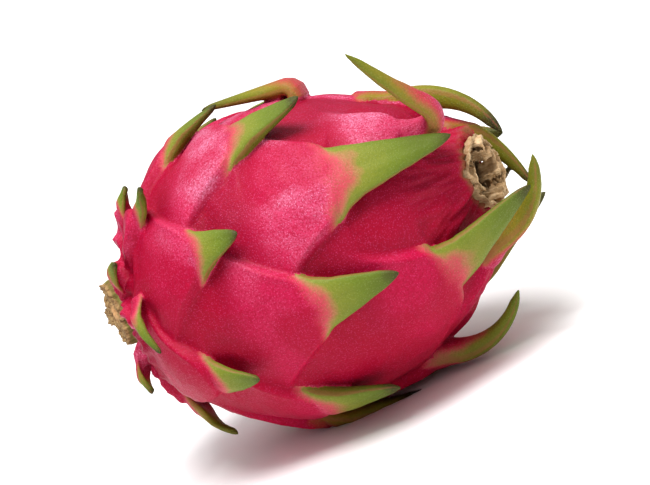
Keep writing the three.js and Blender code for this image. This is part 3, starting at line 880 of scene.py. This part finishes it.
def outer_wall(tall):
    """The torn wall all round: low towards the photographed side, tall on the far one."""
    def place(u, v):
        psi = u * 374 - 187  # its ends lap over each other
        far = 0.5 - 0.5 * math.cos(math.radians(psi))
        flap = math.exp(-((psi + 50) / 22) ** 2)
        torn = 0.7 * crumple(Vector((psi / 16, 0, 0)), 1.0, 2.0)
        top = FLOWER_NEAR_WALL + (tall - FLOWER_NEAR_WALL) * far ** 1.5 + 1.9 * flap + torn
        x = FLOWER_FOOT + (top - FLOWER_FOOT) * v
        above = max(x, 0) / max(top, 0.5)
        radius = FLOWER_RADIUS + (0.9 - 1.6 * far + 0.6 * flap) * above
        p = flower_point(x, radius, psi)
        swell = 1.5 * crumple(Vector((psi / 20, x / 7, 0)), 1.0, 8.0) + 0.4 * crumple(p, 2.0, 4.0)
        return flower_point(x + 0.4 * crumple(p, 2.4, 6.0), radius + swell * (0.3 + 0.7 * above), psi)
    return place


def fold_inside(tall, start, sweep, middle, waves, depth, lower, seed):
    """A pleated, crumpled fold that goes part of the way round inside the wall."""
    def place(u, v):
        psi = start + sweep * u
        top = tall - lower + 1.5 * crumple(Vector((psi / 17, seed, 0)), 1.0, 1.0)
        x = FOLD_FOOT + (top - FOLD_FOOT) * v
        pleat = depth * math.sin(math.radians(psi * waves)) * (0.35 + 0.65 * v)
        p = flower_point(x, middle, psi)
        crumpled = 1.5 * crumple(p, 3.4, seed) + 0.6 * crumple(p, 1.3, seed)
        return flower_point(x, middle + pleat + crumpled, psi)
    return place


def fin(turn, offset, foot, top):
    """A thin dry fin across the hollow."""
    def place(u, v):
        across = (u * 2 - 1) * FIN_HALF_WIDTH
        x = foot + (top - foot) * v - 0.9 * (1 - (across / FIN_HALF_WIDTH) ** 2) * v
        slant = math.radians(turn + FRONT_TURN)
        y = -math.cos(slant) * across - math.sin(slant) * offset
        z = -math.sin(slant) * across + math.cos(slant) * offset
        p = Vector((MOUTH_X + x, y, z - float(sag(MOUTH_X))))
        return p + Vector((0, crumple(p, 1.8, 5.0), crumple(p, 1.8, 9.0))) * 0.8
    return place


def flower_sheet(bm, columns, rows, place, thickness):
    """Adds one sheet: place gives a point for u along it and v up it, both 0 to 1."""
    made = bmesh.ops.create_grid(bm, x_segments=columns, y_segments=rows, size=1.0)["verts"]
    for vert in made:
        vert.co = place((vert.co.x + 1) / 2, (vert.co.y + 1) / 2)
    faces = list({f for v in made for f in v.link_faces})
    bmesh.ops.solidify(bm, geom=faces, thickness=thickness)


class DRAGONFRUIT_OT_make_flower(bpy.types.Operator):
    """Make the withered flower in its hollow"""

    bl_idname = "dragonfruit.make_flower"
    bl_label = "Make withered flower"

    def execute(self, context):
        sizes = context.scene.dragonfruit_sizes
        wall = sizes.flower_wall / MM
        tall = sizes.flower_stands / MM
        bm = bmesh.new()
        flower_sheet(bm, 150, 34, outer_wall(tall), wall)
        for fold in FLOWER_FOLDS:
            flower_sheet(bm, 130, 30, fold_inside(tall, *fold), wall * 1.2)
        for measures in FLOWER_FINS:
            flower_sheet(bm, 50, 20, fin(*measures), wall)
        mesh = bpy.data.meshes.new("flower_remains")
        bmesh.ops.recalc_face_normals(bm, faces=bm.faces)
        bm.to_mesh(mesh)
        bm.free()
        write_points(mesh, (read_points(mesh) + PLACE) * MM)
        piece = new_piece("flower_remains", mesh)
        fuse(piece, SMALL_VOXEL, 2, FLOWER_TRIANGLES)
        points = read_points(piece.data) / MM - PLACE
        radius = np.hypot(points[:, 1], points[:, 2] + sag(MOUTH_X))
        # Where painted shade fills the hollow: below the rim and inside the wall.
        deep = smooth((MOUTH_X + 1.0 - points[:, 0]) / 3.2) * smooth((FLOWER_RADIUS - 0.1 - radius) / 2)
        add_mark(piece.data, "deep", deep)
        material = dry_flower_material(context.scene.dragonfruit_looks)
        finish_piece(piece, material, "dried_flower")
        return {"FINISHED"}


# The stub, in millimetres: the turn and reach of each wing of the stem, how far it stands out, how
# far its root goes in, and the slant of its cut, from x at the middle and per millimetre out.
STUB_WINGS = ((-116, 5.6), (69, 6.2), (158, 4.6))
STUB_WING_HALF_ANGLE = 34.0
STUB_OUT = 6.5
STUB_ROOT = 8.0
STUB_SLANT_X = -1.6
STUB_SLANT = 0.7
STUB_AXIS_X = 4  # where along the body the stub's own axis is taken from
CUT_SHARE = 0.4  # the share of the ball that becomes the cut face


def stub_radius(theta, x, core):
    """The star-shaped outline of the winged stem, a little slimmer at both ends."""
    wings = np.zeros_like(theta)
    for turn, reach in STUB_WINGS:
        off = np.abs(np.angle(np.exp(1j * (theta - math.radians(turn)))))
        inside = 1 - np.clip(off / math.radians(STUB_WING_HALF_ANGLE), 0, 1)
        wings = np.maximum(wings, reach * inside ** 0.8)
    return (core + wings * (1 - 0.12 * smooth(-x / STUB_OUT))) * (1 - 0.25 * smooth(x / STUB_ROOT))


class DRAGONFRUIT_OT_cut_stem(bpy.types.Operator):
    """Make the cut stub of the winged stem"""

    bl_idname = "dragonfruit.cut_stem"
    bl_label = "Cut stem"

    def execute(self, context):
        core = context.scene.dragonfruit_sizes.stem_core / MM
        mesh = ball_mesh("stem_cut", 240, 120)
        v, theta = ball_angles(read_points(mesh))
        share = v / math.pi
        cut = share < CUT_SHARE
        down = np.clip((share - CUT_SHARE) / (1 - CUT_SHARE), 0, 1)
        length = STUB_OUT + STUB_ROOT
        x = np.where(cut, -STUB_OUT, -STUB_OUT + length * np.minimum(down * 1.25, 1))
        psi = theta - math.radians(FRONT_TURN)
        girth = stub_radius(theta, x, core)
        inward = np.where(cut, np.sin(share / CUT_SHARE * math.pi / 2), 1 - smooth((down - 0.8) / 0.2) ** 2)
        plan = np.stack([np.cos(theta) * 9, np.sin(theta) * 9, x * 0.4], -1)
        ribs = 0.6 * ripple(plan, 2.2, 2.0) + 0.4 * ripple(plan, 0.9, 4.0)
        r = np.maximum(girth + np.where(cut, 0, ribs), 0.5) * inward
        slanted = STUB_SLANT_X + STUB_SLANT * r * np.cos(psi)
        x = x + (slanted + STUB_OUT) * smooth((STUB_ROOT - x) / length)
        bite = np.stack([r * np.cos(theta), r * np.sin(theta), x * 0], -1)
        ragged = 0.9 * np.abs(ripple(bite, 1.3, 6.0)) + 0.9 * ripple(bite, 2.6, 9.0)
        rim = bell((1 - inward) * girth / 0.9)
        x = x - np.where(cut, ragged * 1.2 - 0.5 + 0.35 * rim, 0)
        points = np.stack([x, -np.cos(theta) * r, -np.sin(theta) * r - sag(STUB_AXIS_X)], -1)
        write_points(mesh, (points + PLACE) * MM)
        piece = new_piece("stem_cut", mesh)
        fuse(piece, SMALL_VOXEL, 1, STUB_TRIANGLES)
        p = read_points(piece.data) / MM - PLACE
        below = p[:, 2] + sag(STUB_AXIS_X)
        radius = np.hypot(p[:, 1], below)
        psi = np.arctan2(-below, -p[:, 1]) - math.radians(FRONT_TURN)
        top = smooth((STUB_SLANT_X + STUB_SLANT * radius * np.cos(psi) + 1.4 - p[:, 0]) / 0.8)
        centre = 1 - smooth((radius - 1.0) / 2.2)
        add_mark(piece.data, "cut", top)
        add_mark(piece.data, "core", centre)
        finish_piece(piece, stem_material(context.scene.dragonfruit_looks), "stem_stub")
        return {"FINISHED"}


class DRAGONFRUIT_OT_set_stage(bpy.types.Operator):
    """Lay the floor, hang the lights and place the camera"""

    bl_idname = "dragonfruit.set_stage"
    bl_label = "Set up studio"

    def execute(self, context):
        scene = context.scene
        studio = scene.dragonfruit_studio
        bm = bmesh.new()
        bmesh.ops.create_grid(bm, x_segments=8, y_segments=8, size=15.0)
        mesh = bpy.data.meshes.new("studio_floor")
        bm.to_mesh(mesh)
        bm.free()
        material, tree, shader, place = new_material("Studio floor")
        tint = mixed(tree, cloud(tree, place, 0.4), (0.93, 0.93, 0.93, 1), (0.95, 0.95, 0.95, 1))
        tree.links.new(tint, shader.inputs["Base Color"])
        shader.inputs["Roughness"].default_value = 0.9
        shader.inputs["Specular IOR Level"].default_value = 0.1
        mesh.materials.append(material)
        new_piece("studio_floor", mesh)

        world = bpy.data.worlds.new("Studio")
        world.use_nodes = True
        sky = world.node_tree
        height = add(sky, "SeparateXYZ", {0: add(sky, "TexCoord").outputs["Generated"]}).outputs["Z"]
        strength = maths(sky, "MULTIPLY", rise(sky, height, 0.1, 0.8, 0.18, 1.0), studio.room_light)
        sky.links.new(strength, sky.nodes["Background"].inputs["Strength"])
        sky.nodes["Background"].inputs["Color"].default_value = (1, 1, 1, 1)
        scene.world = world

        for name, power, size, at in (("Key light", studio.key_power, KEY_LIGHT_SIZE, KEY_LIGHT_AT),
                                      ("Fill light", studio.fill_power, FILL_LIGHT_SIZE, FILL_LIGHT_AT)):
            lamp = bpy.data.lights.new(name, "AREA")
            lamp.shape = "DISK"
            lamp.size = size
            lamp.energy = power
            holder = bpy.data.objects.new(name, lamp)
            holder.location = at
            aim = Vector(LIGHTS_AIM) - holder.location
            holder.rotation_euler = aim.to_track_quat("-Z", "Y").to_euler()
            scene.collection.objects.link(holder)

        camera = bpy.data.cameras.new("Camera")
        camera.sensor_width = SENSOR_WIDTH
        camera.lens = SENSOR_WIDTH * studio.camera_distance / studio.picture_width
        camera.clip_end = 50.0
        holder = bpy.data.objects.new("Camera", camera)
        facing = (Matrix.Rotation(studio.camera_turn, 4, "Z")
                  @ Matrix.Rotation(math.pi / 2 - studio.camera_rise, 4, "X")
                  @ Matrix.Rotation(studio.camera_roll, 4, "Z"))
        place = Vector(CAMERA_AIM) * MM + facing.to_3x3() @ Vector((0, 0, studio.camera_distance))
        holder.matrix_world = Matrix.Translation(place) @ facing
        scene.collection.objects.link(holder)
        scene.camera = holder
        scene.view_settings.view_transform = "Standard"
        scene.view_settings.look = "Medium High Contrast"
        return {"FINISHED"}


# Add-on.


class DRAGONFRUIT_PT_panel(bpy.types.Panel):
    """Lists the pieces of the dragon fruit and its studio"""

    bl_idname = "DRAGONFRUIT_PT_panel"
    bl_label = "Dragon fruit"
    bl_space_type = "VIEW_3D"
    bl_region_type = "UI"
    bl_category = "Dragon fruit"

    def draw(self, context):
        layout = self.layout
        for operator in OPERATORS:
            layout.operator(operator.bl_idname)
        for settings in (context.scene.dragonfruit_sizes, context.scene.dragonfruit_looks,
                         context.scene.dragonfruit_studio):
            box = layout.box()
            for name in settings.__annotations__:
                box.prop(settings, name)


SETTINGS = {
    "dragonfruit_sizes": FruitSizes,
    "dragonfruit_looks": FruitLooks,
    "dragonfruit_studio": StudioSetup,
}
OPERATORS = (DRAGONFRUIT_OT_grow_fruit, DRAGONFRUIT_OT_make_flower, DRAGONFRUIT_OT_cut_stem,
             DRAGONFRUIT_OT_set_stage)


def register():
    for made in (*SETTINGS.values(), *OPERATORS, DRAGONFRUIT_PT_panel):
        bpy.utils.register_class(made)
    for name, settings in SETTINGS.items():
        setattr(bpy.types.Scene, name, bpy.props.PointerProperty(type=settings))


def unregister():
    for name in SETTINGS:
        delattr(bpy.types.Scene, name)
    for made in (DRAGONFRUIT_PT_panel, *reversed(OPERATORS), *SETTINGS.values()):
        bpy.utils.unregister_class(made)


def main():
    register()
    bpy.ops.dragonfruit.grow_fruit()
    bpy.ops.dragonfruit.make_flower()
    bpy.ops.dragonfruit.cut_stem()
    bpy.ops.dragonfruit.set_stage()


if __name__ == "__main__":
    main()
